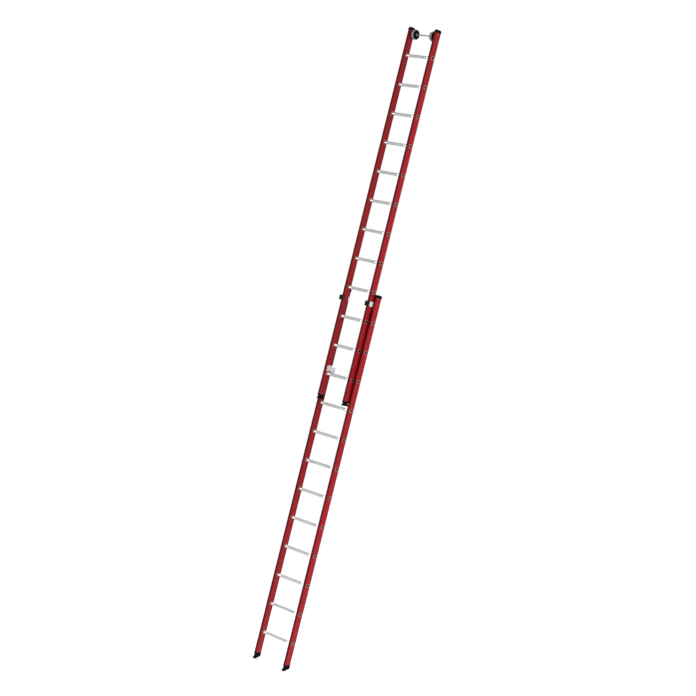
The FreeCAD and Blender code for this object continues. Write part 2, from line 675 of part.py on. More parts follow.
def guide_shoe(side_name):
    """A moulded shoe on the guide plate that wraps the fly stile's front edge."""
    side = SIDES[side_name]
    part = keep(new_body(f"guide_shoe_{side_name}"))
    block = new_sketch(part, "block", "XY_Plane")
    outer = f"{side} * ({BASE_INNER} + shoe_skin)"
    inner = f"{side} * ({FLY_INNER} - shoe_gap - shoe_wall)"
    rectangle(block, inner, outer, SHOE_FRONT, SHOE_BACK)
    pad(part, block, "guide_height", both_ways=True)
    channel = new_sketch(part, "channel", "XY_Plane")
    rectangle(channel, f"{side} * ({FLY_INNER} - shoe_gap)", f"{side} * (fly_width / 2 + shoe_gap)",
              f"-{HALF_DEPTH} - shoe_gap", f"{SHOE_BACK} + over_cut")
    pocket(part, channel, "2 * guide_height", both_ways=True)
    slot = new_sketch(part, "slot", "XY_Plane")
    rectangle(slot, f"{side} * ({BASE_INNER} - guide_thickness)", f"{side} * {BASE_INNER}",
              PLATE_FRONT, f"{SHOE_BACK} + over_cut")
    pocket(part, slot, "2 * guide_height", both_ways=True)
    holes = new_sketch(part, "rivet_holes", "YZ_Plane", outer)
    for height in shoe_rivet_heights():
        circle(holes, shoe_rivet_y(), height, "rivet_diameter / 2")
    pocket(part, holes, "fly_width", both_ways=True)
    bind(part, y=FLY_Y, z=f"{BASE_Z} + {GUIDE_UP}")


def guide_rivets():
    """Rivets that hold the plates to the stiles and the shoes to the plates."""
    to_stile = rivet_master("plate_rivet", f"{BASE_INNER} - guide_thickness", f"{BASE_INNER} + stile_wall")
    to_plate = rivet_master("shoe_rivet", f"{FLY_INNER} - shoe_gap - shoe_wall", f"{BASE_INNER} + shoe_skin")
    height = f"{BASE_Z} + {GUIDE_UP}"
    spots = [(to_stile, f"{BASE_Y} + {shift}", height) for shift in guide_rivet_shifts()]
    spots += [(to_plate, f"{FLY_Y} + {shoe_rivet_y()}", f"{height} + {up}") for up in shoe_rivet_heights()]
    return both_sides(spots)


def both_sides(spots):
    """Copies each master, modelled on the right, to its spot and turns one to the left."""
    placed = []
    for i, (master, y, z) in enumerate(spots):
        for side_name, side in SIDES.items():
            rivet = copy_of(master, f"{master.Name}_{side_name}_{i}", y=y, z=z)
            if side == LEFT:
                rivet.Placement.Rotation = FreeCAD.Rotation(Vector(0, 0, 1), 180)
            placed.append(rivet)
    return placed


# --- stops on the fly section ----------------------------------------------------------

def stop_blocks():
    """Blocks outside the fly stiles that meet the guide plates at the end of the travel."""
    blocks = []
    for side_name, side in SIDES.items():
        part = new_body(f"stop_block_{side_name}")
        shape = new_sketch(part, "outline", "YZ_Plane", f"{side} * {STOP_THICKNESS} / 2")
        centred_rectangle(shape, "stop_depth", "stop_height")
        pad(part, shape, STOP_THICKNESS, both_ways=True)
        holes = new_sketch(part, "rivet_holes", "YZ_Plane")
        recess = new_sketch(part, "head_recesses", "YZ_Plane", f"{side} * {STOP_THICKNESS}")
        for height in stop_rivet_heights():
            circle(holes, "0", height, "rivet_diameter / 2")
            circle(recess, "0", height, RIVET_HEAD)
        pocket(part, holes, f"4 * {STOP_THICKNESS}", both_ways=True)
        pocket(part, recess, "head_recess", upwards=side == LEFT)
        bind(part, x=f"{side} * fly_width / 2", y=f"{FLY_Y} + stop_back", z=f"{FLY_Z} + {STOP_UP}")
        blocks.append(part)
    group_of("stop_blocks", blocks)


def stop_and_hook_rivets():
    to_stop = rivet_master(
        "stop_rivet", "fly_width / 2 - stile_wall", f"fly_width / 2 + {STOP_THICKNESS} - head_recess")
    to_hook = rivet_master("hook_rivet", f"{FLY_INNER} - hook_plate_thickness", f"{FLY_INNER} + stile_wall")
    stop_y, stop_z = f"{FLY_Y} + stop_back", f"{FLY_Z} + {STOP_UP}"
    spots = [(to_stop, stop_y, f"{stop_z} + {height}") for height in stop_rivet_heights()]
    spots += [(to_hook, f"{FLY_Y} + {y}", f"{FLY_Z} + first_rung + {z}") for y, z in hook_rivet_spots()]
    return both_sides(spots)


# --- rung hooks ------------------------------------------------------------------------

def hook_plate(side_name):
    side = SIDES[side_name]
    part = keep(new_body(f"hook_plate_{side_name}"))
    plate = new_sketch(part, "outline", "YZ_Plane", f"{-side} * hook_plate_thickness / 2")
    rectangle(plate, "-hook_plate_front", HALF_DEPTH, HOOK_PLATE_LOW, "hook_plate_high")
    pad(part, plate, "hook_plate_thickness", both_ways=True)
    holes = new_sketch(part, "holes", "YZ_Plane")
    circle(holes, "-pivot_ahead", "pivot_up", "pivot_diameter / 2")
    for y, z in hook_rivet_spots():
        circle(holes, y, z, "rivet_diameter / 2")
    pocket(part, holes, "4 * hook_plate_thickness", both_ways=True)
    bind(part, x=f"{side} * {FLY_INNER}", y=FLY_Y, z=f"{FLY_Z} + first_rung")


def hook(side_name):
    """A hook that rests on a base rung, its nose behind the rung, hung from its pivot."""
    side = SIDES[side_name]
    part = keep(new_body(f"hook_{side_name}"))
    arm = new_sketch(part, "arm", "YZ_Plane")
    seat_front = f"({SECTION_OFFSET} - {SEAT_RADIUS})"
    seat_back = f"({SECTION_OFFSET} + {SEAT_RADIUS})"
    nose_back = f"({seat_back} + hook_nose)"
    arm_front = "(-pivot_ahead)"
    outline(arm, [
        (arm_front, f"pivot_up - 2 * {HOOK_BOSS} / 3"), (seat_front, SEAT_RADIUS),
        (SECTION_OFFSET, SEAT_RADIUS, (SECTION_OFFSET, "0")), (seat_back, "0"),
        (seat_back, "-nose_drop"), (f"{seat_back} + hook_nose / 2", "-nose_drop - nose_tip"),
        (nose_back, "-nose_drop / 2"), (nose_back, "hook_top - hook_nose"),
        (seat_back, "hook_top"), (arm_front, "hook_top - hook_shoulder"),
    ])
    pad(part, arm, "hook_thickness", both_ways=True)
    boss = new_sketch(part, "boss", "YZ_Plane")
    circle(boss, "-pivot_ahead", "pivot_up", HOOK_BOSS)
    pad(part, boss, "hook_thickness", both_ways=True)
    hole = new_sketch(part, "pivot_hole", "YZ_Plane")
    circle(hole, "-pivot_ahead", "pivot_up", "pivot_diameter / 2 + pivot_fit")
    pocket(part, hole, "2 * hook_thickness", both_ways=True)
    bind(part, x=f"{side} * ({HOOK_OUTER} - hook_thickness / 2)", y=FLY_Y, z=f"{FLY_Z} + first_rung")


def hook_pivots():
    """Shoulder bolts through hook, plate and the stile's inner wall, with a nut inside."""
    part = new_body("hook_pivot_pattern")
    shape = new_sketch(part, "outline", "XY_Plane")
    hook_face = f"({HOOK_OUTER} - hook_thickness - hook_gap / 2)"
    shoulder = f"({HOOK_OUTER} + hook_gap / 2)"
    plate_face = f"({FLY_INNER} - hook_plate_thickness)"
    wall_face = f"({FLY_INNER} + stile_wall)"
    head_face = f"({hook_face} - pivot_head_height)"
    nut_face = f"({wall_face} + pivot_head_height)"
    shank = "pivot_diameter / 2"
    outline(shape, [
        (head_face, "0"), (nut_face, "0"), (nut_face, PIVOT_HEAD), (wall_face, PIVOT_HEAD),
        (wall_face, shank), (plate_face, shank), (plate_face, PIVOT_HEAD), (shoulder, PIVOT_HEAD),
        (shoulder, shank), (hook_face, shank), (hook_face, PIVOT_HEAD),
        (f"{head_face} + pivot_bevel", PIVOT_HEAD), (head_face, f"{PIVOT_HEAD} - pivot_bevel"),
    ])
    revolve(part, shape)
    spot = (part, f"{FLY_Y} - pivot_ahead", f"{FLY_Z} + first_rung + pivot_up")
    group_of("hook_pivots", both_sides([spot]))


# --- wall rollers ----------------------------------------------------------------------

def roller_core(side_name):
    """A black spool: side discs that hold the tyre, and a hub for the bush."""
    part = keep(new_body(f"roller_core_{side_name}"))
    shape = new_sketch(part, "outline", "XY_Plane")
    inner = "(tyre_width / 2)"
    outer = "(tyre_width / 2 + disc_thickness)"
    outline(shape, [
        (f"-{HUB_HALF}", BUSH_RADIUS), (HUB_HALF, BUSH_RADIUS), (HUB_HALF, HUB_RADIUS),
        (outer, HUB_RADIUS), (outer, DISC_RADIUS), (inner, DISC_RADIUS), (inner, TYRE_BORE),
        (f"-{inner}", TYRE_BORE), (f"-{inner}", DISC_RADIUS), (f"-{outer}", DISC_RADIUS),
        (f"-{outer}", HUB_RADIUS), (f"-{HUB_HALF}", HUB_RADIUS),
    ])
    revolve(part, shape)
    ring = f"(({HUB_RADIUS} + {DISC_RADIUS}) / 2)"
    for name, sign in (("near", -1), ("far", 1)):
        dent = new_sketch(part, f"recess_{name}", "YZ_Plane", f"{sign} * {outer}")
        circle(dent, ring, "0", "recess_diameter / 2")
        cut = pocket(part, dent, "disc_relief", upwards=sign < 0)
        repeat_round(part, cut, "recess_count")
    bind(part, x=f"{SIDES[side_name]} * {ROLLER_X}", y=f"{FLY_Y} + axle_back", z=f"{FLY_Z} + {AXLE_UP}")


def roller_tyre(side_name):
    """A grey tyre between the core's discs, with bevelled shoulders and a middle groove."""
    part = keep(new_body(f"roller_tyre_{side_name}"))
    shape = new_sketch(part, "outline", "XY_Plane")
    half = "(tyre_width / 2)"
    tread = "(tyre_diameter / 2)"
    outline(shape, [
        (f"-{half}", TYRE_BORE), (half, TYRE_BORE), (half, DISC_RADIUS), (f"{half} - tyre_edge", tread),
        ("tread_groove", tread), ("0", f"{tread} - tread_groove"), ("-tread_groove", tread),
        (f"tyre_edge - {half}", tread), (f"-{half}", DISC_RADIUS),
    ])
    revolve(part, shape)
    bind(part, x=f"{SIDES[side_name]} * {ROLLER_X}", y=f"{FLY_Y} + axle_back", z=f"{FLY_Z} + {AXLE_UP}")


def tube(name, low_x, high_x, inner, outer):
    """A plain ring or sleeve along X."""
    part = new_body(name)
    shape = new_sketch(part, "outline", "XY_Plane")
    rectangle(shape, low_x, high_x, inner, outer)
    revolve(part, shape)
    return part


def roller_bush(side_name):
    inner = "axle_diameter / 2 + bush_fit"
    part = keep(tube(f"roller_bush_{side_name}", f"-{HUB_HALF}", HUB_HALF, inner, BUSH_RADIUS))
    bind(part, x=f"{SIDES[side_name]} * {ROLLER_X}", y=f"{FLY_Y} + axle_back", z=f"{FLY_Z} + {AXLE_UP}")


def roller_axle():
    """The rod that carries both rollers, held between the stiles and grooved for its clips."""
    part = keep(new_body("roller_axle"))
    shape = new_sketch(part, "outline", "XY_Plane")
    end = "(fly_width / 2 - stile_wall - side_play)"
    rod = "axle_diameter / 2"
    groove = "(axle_diameter / 2 - clip_groove)"
    near = f"({CLIP_X} - clip_width / 2)"
    far = f"({CLIP_X} + clip_width / 2)"
    outline(shape, [
        (f"-{end}", "0"), (end, "0"), (end, rod), (far, rod), (far, groove), (near, groove),
        (near, rod), (f"-{near}", rod), (f"-{near}", groove), (f"-{far}", groove),
        (f"-{far}", rod), (f"-{end}", rod),
    ])
    revolve(part, shape)
    bind(part, y=f"{FLY_Y} + axle_back", z=f"{FLY_Z} + {AXLE_UP}")


def spacers_and_clips():
    """Tubes outside the rollers and clips inside them keep the rollers in place."""
    spacer = tube("roller_spacer", f"{ROLLER_X} + {HUB_HALF} + side_play", FLY_INNER,
                  "axle_diameter / 2", "axle_diameter / 2 + spacer_wall")
    clip = tube("axle_clip", f"{CLIP_X} - clip_width / 2", f"{CLIP_X} + clip_width / 2",
                "axle_diameter / 2 - clip_groove", "axle_diameter / 2 + clip_rim")
    mouth = new_sketch(clip, "mouth", "XY_Plane")
    rectangle(mouth, f"{CLIP_X} - clip_width", f"{CLIP_X} + clip_width",
              "0", "axle_diameter + clip_rim")
    pocket(clip, mouth, "axle_diameter / 2", both_ways=True)
    y = f"{FLY_Y} + axle_back"
    z = f"{FLY_Z} + {AXLE_UP}"
    group_of("roller_spacers", both_sides([(spacer, y, z)]))
    group_of("axle_clips", both_sides([(clip, y, z)]))


# --- assembly --------------------------------------------------------------------------

for section_name in SECTIONS:
    for side_label in SIDES:
        stile(section_name, side_label)
        end_cap(section_name, side_label)
    rungs(section_name)
for side_label in SIDES:
    base_foot(side_label)
    fly_foot(side_label)
    guide_plate(side_label)
    guide_shoe(side_label)
    hook_plate(side_label)
    hook(side_label)
    roller_core(side_label)
    roller_tyre(side_label)
    roller_bush(side_label)
group_of("base_rivets", end_rivets("base") + guide_rivets())
group_of("fly_rivets", end_rivets("fly") + stop_and_hook_rivets())
stop_blocks()
hook_pivots()
roller_axle()
spacers_and_clips()
doc.recompute()

for item in doc.Objects:
    if {"Invalid", "Error"} & set(item.State):
        raise SystemExit(f"{item.Label} failed: {item.State}")
for node in nodes:
    if node.Shape.isNull() or not node.Shape.isValid():
        raise SystemExit(f"{node.Label} has no valid shape")

os.makedirs("parts", exist_ok=True)
for node in nodes:
    node.Shape.exportStep(os.path.join("parts", f"{node.Label}.step"))
print(f"{len(nodes)} sub-parts written")
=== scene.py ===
import math

import bmesh
import bpy
from mathutils import Matrix, Vector


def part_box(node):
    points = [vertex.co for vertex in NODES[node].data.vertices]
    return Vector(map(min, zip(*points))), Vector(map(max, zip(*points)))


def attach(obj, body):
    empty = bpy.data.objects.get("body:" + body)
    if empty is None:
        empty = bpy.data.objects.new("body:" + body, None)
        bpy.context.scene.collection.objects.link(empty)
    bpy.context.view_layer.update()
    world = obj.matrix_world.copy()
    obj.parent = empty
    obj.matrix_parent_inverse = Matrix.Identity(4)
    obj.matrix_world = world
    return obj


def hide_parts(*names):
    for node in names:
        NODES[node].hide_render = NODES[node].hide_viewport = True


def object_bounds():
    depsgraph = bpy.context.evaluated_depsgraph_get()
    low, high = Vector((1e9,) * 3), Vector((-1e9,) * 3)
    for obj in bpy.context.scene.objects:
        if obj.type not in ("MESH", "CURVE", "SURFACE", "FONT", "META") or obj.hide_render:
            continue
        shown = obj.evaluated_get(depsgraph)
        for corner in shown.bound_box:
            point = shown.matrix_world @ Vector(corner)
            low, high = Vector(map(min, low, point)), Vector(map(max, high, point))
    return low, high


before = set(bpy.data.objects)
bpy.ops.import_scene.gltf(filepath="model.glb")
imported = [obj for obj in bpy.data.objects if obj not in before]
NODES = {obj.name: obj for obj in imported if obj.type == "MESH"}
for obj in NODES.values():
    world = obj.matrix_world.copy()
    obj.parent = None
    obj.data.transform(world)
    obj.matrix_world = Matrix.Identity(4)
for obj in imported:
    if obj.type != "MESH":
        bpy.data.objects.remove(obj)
cad_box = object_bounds()

SIDES = ("left", "right")
SIGN = {"left": -1.0, "right": 1.0}
WHITE = (1.0, 1.0, 1.0)


# --- camera ----------------------------------------------------------------------------

VIEW_AZIMUTH = math.radians(42.13)
VIEW_PITCH = math.radians(0.88)
VIEW_ROLL = math.radians(14.0)
VIEW_DISTANCE = 17.53
VIEW_LENS = 96.8
SENSOR_WIDTH = 36.0
AIM_SHIFT = 0.009
VIEW_REACH = 200.0


def add_camera():
    """A long lens level with the middle of the ladder, rolled so that the top leans right."""
    low, high = (Vector(corner) for corner in cad_box)
    across = Vector((math.cos(VIEW_AZIMUTH), math.sin(VIEW_AZIMUTH), 0.0))
    back = Vector((math.sin(VIEW_AZIMUTH) * math.cos(VIEW_PITCH),
                   -math.cos(VIEW_AZIMUTH) * math.cos(VIEW_PITCH), math.sin(VIEW_PITCH)))
    upright = back.cross(across)
    right = across * math.cos(VIEW_ROLL) + upright * math.sin(VIEW_ROLL)
    top = upright * math.cos(VIEW_ROLL) - across * math.sin(VIEW_ROLL)
    place = (low + high) / 2.0 + across * AIM_SHIFT + back * VIEW_DISTANCE
    data = bpy.data.cameras.new("camera")
    data.sensor_width = SENSOR_WIDTH
    data.lens = VIEW_LENS
    data.clip_end = VIEW_REACH
    camera = bpy.data.objects.new("camera", data)
    bpy.context.scene.collection.objects.link(camera)
    columns = Matrix((right, top, back)).transposed().to_4x4()
    camera.matrix_world = Matrix.Translation(place) @ columns
    bpy.context.scene.camera = camera


# --- light and floor -------------------------------------------------------------------

ROOM_LIGHT = 0.62
ROOM_DARK = 0.42
LIT_SIDE = (0.9, 0.25, 0.35)
ROOM_BLEND = 0.9
LIT_POINT = (0.0, 0.0, 3.0)
LAMPS = (
    ("key", (9.0, -1.5, 4.5), (4.0, 7.0), 560.0),
    ("front", (-6.5, -7.5, 3.5), (5.0, 7.0), 340.0),
    ("back", (-6.0, 7.0, 5.0), (4.0, 6.0), 420.0),
)
FLOOR_RADIUS = 3.5
FLOOR_SIDES = 96
FLOOR_GREY = 0.9
FLOOR_ROUGHNESS = 0.9
FLOOR_GLOW = 0.3


def add_area_light(name, place, size, power):
    """A soft rectangular lamp that faces the middle of the ladder."""
    data = bpy.data.lights.new(name, "AREA")
    data.shape = "RECTANGLE"
    data.size, data.size_y = size
    data.energy = power
    lamp = bpy.data.objects.new(name, data)
    bpy.context.scene.collection.objects.link(lamp)
    lamp.location = Vector(place)
    lamp.rotation_euler = (Vector(LIT_POINT) - lamp.location).to_track_quat("-Z", "Y").to_euler()


def add_studio():
    """A white studio lit from the right: the camera sees white behind the ladder."""
    scene = bpy.context.scene
    scene.view_settings.view_transform = "Standard"
    world = bpy.data.worlds.new("studio")
    world.use_nodes = True
    tree = world.node_tree

    def add(kind):
        return tree.nodes.new(kind)

    place = add("ShaderNodeTexCoord").outputs["Generated"]
    across = add("ShaderNodeVectorMath")
    across.operation = "DOT_PRODUCT"
    across.inputs[1].default_value = LIT_SIDE
    tree.links.new(place, across.inputs[0])
    level = add("ShaderNodeMapRange")
    level.interpolation_type = "SMOOTHSTEP"
    levels = {"From Min": -ROOM_BLEND, "From Max": ROOM_BLEND, "To Min": ROOM_DARK, "To Max": ROOM_LIGHT}
    for name, value in levels.items():
        level.inputs[name].default_value = value
    tree.links.new(across.outputs["Value"], level.inputs["Value"])
    room = tree.nodes["Background"]
    room.inputs["Color"].default_value = (*WHITE, 1.0)
    tree.links.new(level.outputs["Result"], room.inputs["Strength"])
    backdrop = add("ShaderNodeBackground")
    backdrop.inputs["Color"].default_value = (*WHITE, 1.0)
    backdrop.inputs["Strength"].default_value = 1.0
    either = add("ShaderNodeMixShader")
    rays = add("ShaderNodeLightPath")
    tree.links.new(rays.outputs["Is Camera Ray"], either.inputs["Fac"])
    tree.links.new(room.outputs["Background"], either.inputs[1])
    tree.links.new(backdrop.outputs["Background"], either.inputs[2])
    tree.links.new(either.outputs["Shader"], tree.nodes["World Output"].inputs["Surface"])
    scene.world = world
    for lamp in LAMPS:
        add_area_light(*lamp)


def add_floor():
    """A round pale floor that is bright enough to run into the white behind it."""
    rim = [(FLOOR_RADIUS * math.cos(turn), FLOOR_RADIUS * math.sin(turn), 0.0)
           for turn in (math.tau * i / FLOOR_SIDES for i in range(FLOOR_SIDES))]
    mesh = bpy.data.meshes.new("floor")
    mesh.from_pydata(rim, [], [range(FLOOR_SIDES)])
    floor = bpy.data.objects.new("floor", mesh)
    bpy.context.scene.collection.objects.link(floor)
    material = new_material("pale_floor")
    shader = material.node_tree.nodes["Principled BSDF"]
    shader.inputs["Base Color"].default_value = (FLOOR_GREY, FLOOR_GREY, FLOOR_GREY, 1.0)
    shader.inputs["Roughness"].default_value = FLOOR_ROUGHNESS
    shader.inputs["Specular IOR Level"].default_value = 0.0
    shader.inputs["Emission Color"].default_value = (*WHITE, 1.0)
    shader.inputs["Emission Strength"].default_value = FLOOR_GLOW
    mesh.materials.append(material)


# --- materials -------------------------------------------------------------------------

# Width and colour of painted shade along the rounded front and back corners of the stiles.
CORNER_SHADE_BAND = 0.011
CORNER_SHADE_RED = (0.12, 0.002, 0.006)
REDS = ((0.27, 0.004, 0.008), (0.32, 0.006, 0.010), (0.37, 0.009, 0.012))
# Deeper reds for the front and back faces of the stiles: painted shade.
SHADED_SIDE_REDS = ((0.11, 0.0, 0.004), (0.135, 0.0, 0.006), (0.16, 0.001, 0.008))
FACE_GLOSS = 0.2
EDGE_GLOSS = 0.06
MOULDED_GLOSS = 0.07
ALONG_X = (0.02, 1.0, 1.0)
EVEN = (1.0, 1.0, 1.0)


def new_material(name):
    material = bpy.data.materials.new(name)
    material.use_nodes = True
    return material


class Shading:
    """A short way to lay out the nodes of one material."""

    def __init__(self, name):
        self.material = new_material(name)
        self.tree = self.material.node_tree
        self.shader = self.tree.nodes["Principled BSDF"]
        self.place = self.add("ShaderNodeTexCoord").outputs["Object"]

    def add(self, kind, **settings):
        node = self.tree.nodes.new(kind)
        for key, value in settings.items():
            setattr(node, key, value)
        return node

    def link(self, source, target):
        self.tree.links.new(source, target)

    def set(self, **values):
        """Sets shader sockets; the socket's name is the key with spaces for underscores."""
        for key, value in values.items():
            self.shader.inputs[key.replace("_", " ")].default_value = value

    def stretched(self, scale):
        """Object coordinates, scaled separately along X, Y and Z."""
        mapping = self.add("ShaderNodeMapping")
        mapping.inputs["Scale"].default_value = scale
        self.link(self.place, mapping.inputs["Vector"])
        return mapping.outputs["Vector"]

    def noise(self, scale, detail, roughness, stretch=EVEN):
        texture = self.add("ShaderNodeTexNoise")
        texture.inputs["Scale"].default_value = scale
        texture.inputs["Detail"].default_value = detail
        texture.inputs["Roughness"].default_value = roughness
        self.link(self.stretched(stretch), texture.inputs["Vector"])
        return texture.outputs["Fac"]

    def band(self, axis, middle, half, width):
        """0 across the middle of a face, rising to 1 within a width of its two edges."""
        split = self.add("ShaderNodeSeparateXYZ")
        self.link(self.place, split.inputs["Vector"])
        off = self.add("ShaderNodeMath", operation="SUBTRACT")
        off.inputs[1].default_value = middle
        self.link(split.outputs[axis], off.inputs[0])
        far = self.add("ShaderNodeMath", operation="ABSOLUTE")
        self.link(off.outputs[0], far.inputs[0])
        rise = self.add("ShaderNodeMapRange", interpolation_type="SMOOTHSTEP")
        rise.inputs["From Min"].default_value = half - width
        rise.inputs["From Max"].default_value = half
        self.link(far.outputs[0], rise.inputs["Value"])
        return rise.outputs["Result"]

    def ramp(self, factor, stops):
        """Colours or grey levels spread over a factor: (position, colour or level) stops."""
        ramp = self.add("ShaderNodeValToRGB")
        elements = ramp.color_ramp.elements
        while len(elements) < len(stops):
            elements.new(0.5)
        for element, (position, value) in zip(elements, stops):
            element.position = position
            element.color = (*value, 1.0) if isinstance(value, tuple) else (value, value, value, 1.0)
        self.link(factor, ramp.inputs["Fac"])
        return ramp.outputs["Color"]

    def mix(self, factor, first, second, blend="MIX"):
        node = self.add("ShaderNodeMix", data_type="RGBA", blend_type=blend)
        for socket, value in ((node.inputs[0], factor), (node.inputs[6], first), (node.inputs[7], second)):
            if isinstance(value, bpy.types.NodeSocket):
                self.link(value, socket)
            elif isinstance(value, tuple):
                socket.default_value = (*value, 1.0)
            else:
                socket.default_value = value
        return node.outputs[2]

    def colour(self, source):
        self.link(source, self.shader.inputs["Base Color"])

    def roughness(self, source):
        self.link(source, self.shader.inputs["Roughness"])

    def bump(self, height, strength, distance):
        node = self.add("ShaderNodeBump")
        node.inputs["Strength"].default_value = strength
        node.inputs["Distance"].default_value = distance
        self.link(height, node.inputs["Height"])
        self.link(node.outputs["Normal"], self.shader.inputs["Normal"])


def glass_fibre(name, stile, gloss, dark, mid, light):
    """Pultruded laminate: fibre streaks along the stile, painted shade in a band along its front and back
    corners, soft gloss.
    """
    s = Shading(name)
    streaks = s.noise(90.0, 4.0, 0.6, (1.0, 1.0, 0.012))
    base = s.ramp(streaks, [(0.32, dark), (0.5, mid), (0.7, light)])
    clouds = s.noise(2.2, 3.0, 0.55, (1.0, 1.0, 0.35))
    shade = s.ramp(clouds, [(0.3, 0.9), (0.7, 1.0)])
    low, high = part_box(stile)
    # Painted shade: the colour darkens within a band of the stile's front and back corners.
    corner_shade = s.band("Y", (low.y + high.y) / 2.0, (high.y - low.y) / 2.0, CORNER_SHADE_BAND)
    s.colour(s.mix(corner_shade, s.mix(1.0, base, shade, "MULTIPLY"), CORNER_SHADE_RED))
    s.roughness(s.ramp(s.noise(35.0, 3.0, 0.6, (1.0, 1.0, 0.08)), [(0.3, 0.36), (0.75, 0.5)]))
    s.bump(s.noise(420.0, 3.0, 0.6, (1.0, 1.0, 0.04)), 0.22, 0.0006)
    s.set(Specular_IOR_Level=gloss)
    return s.material


def metal(name, dark, light, rough, grain=EVEN, scale=240.0, bump=0.15, bare=1.0):
    """Metal with a directional grain and a little mottling; bare is under 1 on a matt, oxidised skin."""
    s = Shading(name)
    lines = s.noise(scale, 3.0, 0.6, grain)
    s.colour(s.ramp(lines, [(0.25, dark), (0.75, light)]))
    s.roughness(s.ramp(s.noise(scale * 0.3, 3.0, 0.6, grain), [(0.3, rough[0]), (0.7, rough[1])]))
    s.bump(lines, bump, 0.0003)
    s.set(Metallic=bare)
    return s.material


def moulded(name, dark, light, rough):
    """Moulded plastic or rubber with a fine spark-eroded grain and faint handling marks."""
    s = Shading(name)
    marks = s.noise(38.0, 4.0, 0.65)
    s.colour(s.ramp(marks, [(0.35, dark), (0.72, light)]))
    s.roughness(s.ramp(s.noise(60.0, 3.0, 0.6), [(0.3, rough[0]), (0.7, rough[1])]))
    s.bump(s.noise(900.0, 2.0, 0.5), 0.25, 0.0004)
    s.set(Specular_IOR_Level=MOULDED_GLOSS)
    return s.material


def make_materials():
    return {
        "base_grp": glass_fibre("base_glass_fibre", "base_stile_left", FACE_GLOSS, *REDS),
        "fly_grp": glass_fibre("fly_glass_fibre", "fly_stile_left", FACE_GLOSS, *REDS),
        # Copies of the stile laminate with deeper reds: painted shade on the front and back faces.
        "base_shaded_side": glass_fibre("base_side_painted_shade", "base_stile_left", EDGE_GLOSS, *SHADED_SIDE_REDS),
        "fly_shaded_side": glass_fibre("fly_side_painted_shade", "fly_stile_left", EDGE_GLOSS, *SHADED_SIDE_REDS),
        "tread": metal("fluted_aluminium", (0.50, 0.52, 0.52), (0.64, 0.66, 0.66), (0.5, 0.65), ALONG_X),
        "plain": metal("plain_aluminium", (0.86, 0.86, 0.86), (0.95, 0.95, 0.95), (0.38, 0.5), ALONG_X),
        # Near-black rung bore: painted shade inside the tube.
        "bore": metal("rung_bore_painted_shade", (0.008, 0.008, 0.008), (0.02, 0.02, 0.02), (0.6, 0.8), ALONG_X),
        # Dark red flange dish: painted shade and a painted reflection of the red stile.
        "flare": metal("flange_dish_painted_shade_reflection", (0.20, 0.05, 0.055), (0.32, 0.10, 0.11), (0.4, 0.55)),
        # Pink-grey lip faces: painted reflection of the red stile and painted shade on the aluminium.
        "lip": metal("flared_lip_painted_reflection", (0.40, 0.25, 0.25), (0.50, 0.33, 0.33), (0.4, 0.55)),
        "bright": metal("bright_aluminium", (0.88, 0.87, 0.87), (0.97, 0.96, 0.96), (0.34, 0.48), bare=0.6),
        "rivet": metal("dull_rivet", (0.22, 0.13, 0.13), (0.32, 0.20, 0.20), (0.42, 0.55)),
        "cast": metal("cast_aluminium", (0.9, 0.9, 0.9), (0.98, 0.98, 0.98), (0.45, 0.6),
                      scale=120.0, bump=0.4, bare=0.45),
        "zinc": metal("zinc_plate", (0.55, 0.56, 0.57), (0.72, 0.73, 0.74), (0.22, 0.38)),
        "rod": metal("axle_rod", (0.27, 0.27, 0.28), (0.31, 0.31, 0.32), (0.4, 0.5), ALONG_X),
        "rubber": moulded("black_rubber", (0.001, 0.001, 0.001), (0.004, 0.0036, 0.0034), (0.6, 0.8)),
        "plastic": moulded("black_plastic", (0.001, 0.001, 0.001), (0.003, 0.0028, 0.0028), (0.42, 0.56)),
        "tyre": moulded("grey_rubber", (0.30, 0.29, 0.285), (0.42, 0.41, 0.405), (0.62, 0.8)),
        "nylon": moulded("natural_nylon", (0.66, 0.64, 0.57), (0.74, 0.72, 0.66), (0.4, 0.55)),
    }


SMALL_PARTS = {"hook_pivots": "zinc", "axle_clips": "zinc", "roller_axle": "rod", "roller_spacers": "bright"}


def finish_of(node):
    """Which material a CAD node has."""
    if "_stile_" in node:
        return "base_grp" if node.startswith("base") else "fly_grp"
    if node.endswith("rivets"):
        return "rivet"
    if "flanges" in node or node.startswith(("guide_plate", "hook_plate")):
        return "bright"
    if "_rung_" in node:
        return "tread"
    if "foot" in node:
        return "rubber"
    if "end_cap" in node or node.startswith(("guide_shoe", "stop_blocks", "roller_core")):
        return "plastic"
    if node in ("hook_left", "hook_right"):
        return "cast"
    if node.startswith("roller_tyre"):
        return "tyre"
    if node.startswith("roller_bush"):
        return "nylon"
    return SMALL_PARTS[node]


RUNG_BORE = 0.024
PLAIN_END = 0.0705
FACE_SLACK = 0.0006
RIM_DEPTH = 0.0004
STEEP = 0.6
ACROSS = 0.9
PLAIN, BORE, LIP = 1, 2, 3
EDGE = DISH = 1


def dress_frame(materials):
    for name, node in NODES.items():
        node.data.materials.clear()
        node.data.materials.append(materials[finish_of(name)])
        if "_stile_" in name:
            dress_stile(node, materials)
        if "_rung_" in name and "flanges" not in name:
            dress_rung(node, materials)
        if "flanges" in name:
            dress_flanges(node, materials)


def dress_stile(node, materials):
    """The narrow faces of a stile, at its front and back, are deeper red: this is painted shade."""
    mesh = node.data
    mesh.materials.append(materials["base_shaded_side" if node.name.startswith("base") else "fly_shaded_side"])
    for face in mesh.polygons:
        if abs(face.normal.y) > STEEP:
            face.material_index = EDGE


